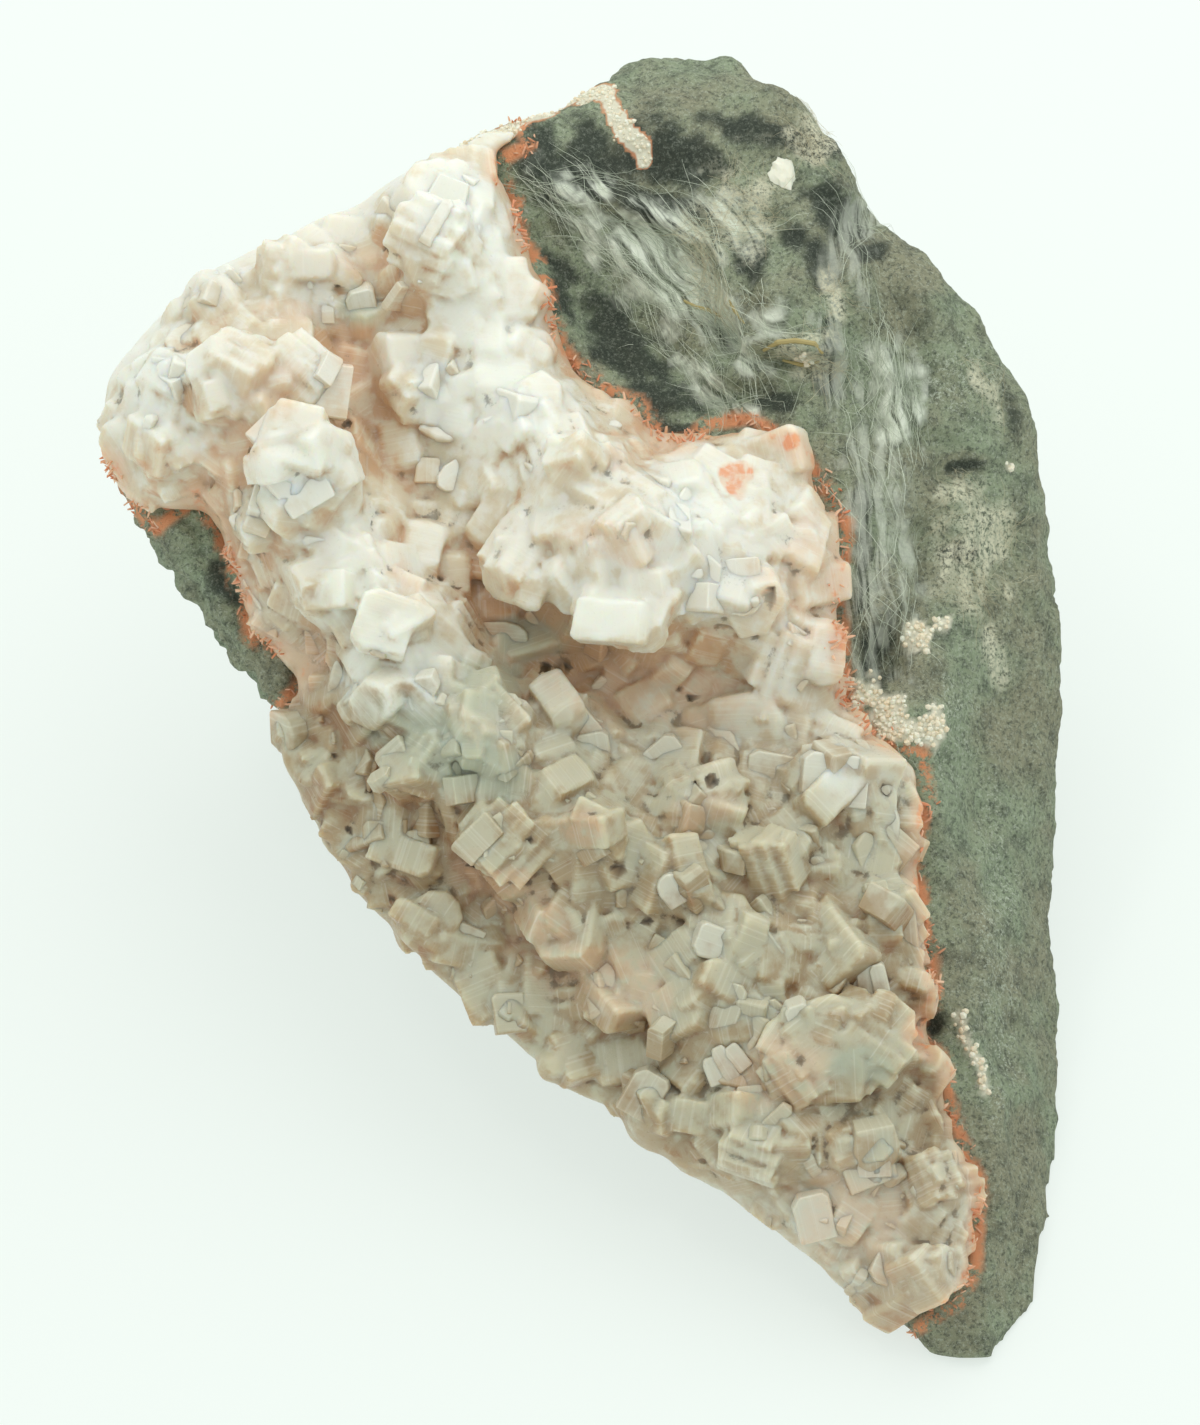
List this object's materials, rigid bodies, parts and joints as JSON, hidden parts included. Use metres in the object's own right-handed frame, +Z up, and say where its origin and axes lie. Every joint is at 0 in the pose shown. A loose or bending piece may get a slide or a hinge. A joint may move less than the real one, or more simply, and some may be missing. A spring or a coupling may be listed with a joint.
{
  "type": "crystal cluster on basalt",
  "caption": "Hand specimen of dark basalt whose broken gas pocket is lined with a pale crust of blocky zeolite and apophyllite crystals.",
  "frame": {"origin": "on the table, under the middle of the specimen's bounding box", "axes": "+Z up; +Y runs up the leaning crystal face from its low point towards the back of the specimen; +X to the right of someone looking at the crystal face"},
  "size_m": [0.12, 0.157, 0.0861],
  "materials": {
    "basalt": "rough, freshly broken, dark green grey with fine grain",
    "zeolite_crystal": "milky, glassy to pearly crystal faces, peach in the recesses"
  },
  "bodies": {
    "root": {"basalt_matrix": "basalt", "crystal_crust": "zeolite_crystal"}
  },
  "joints": []
}
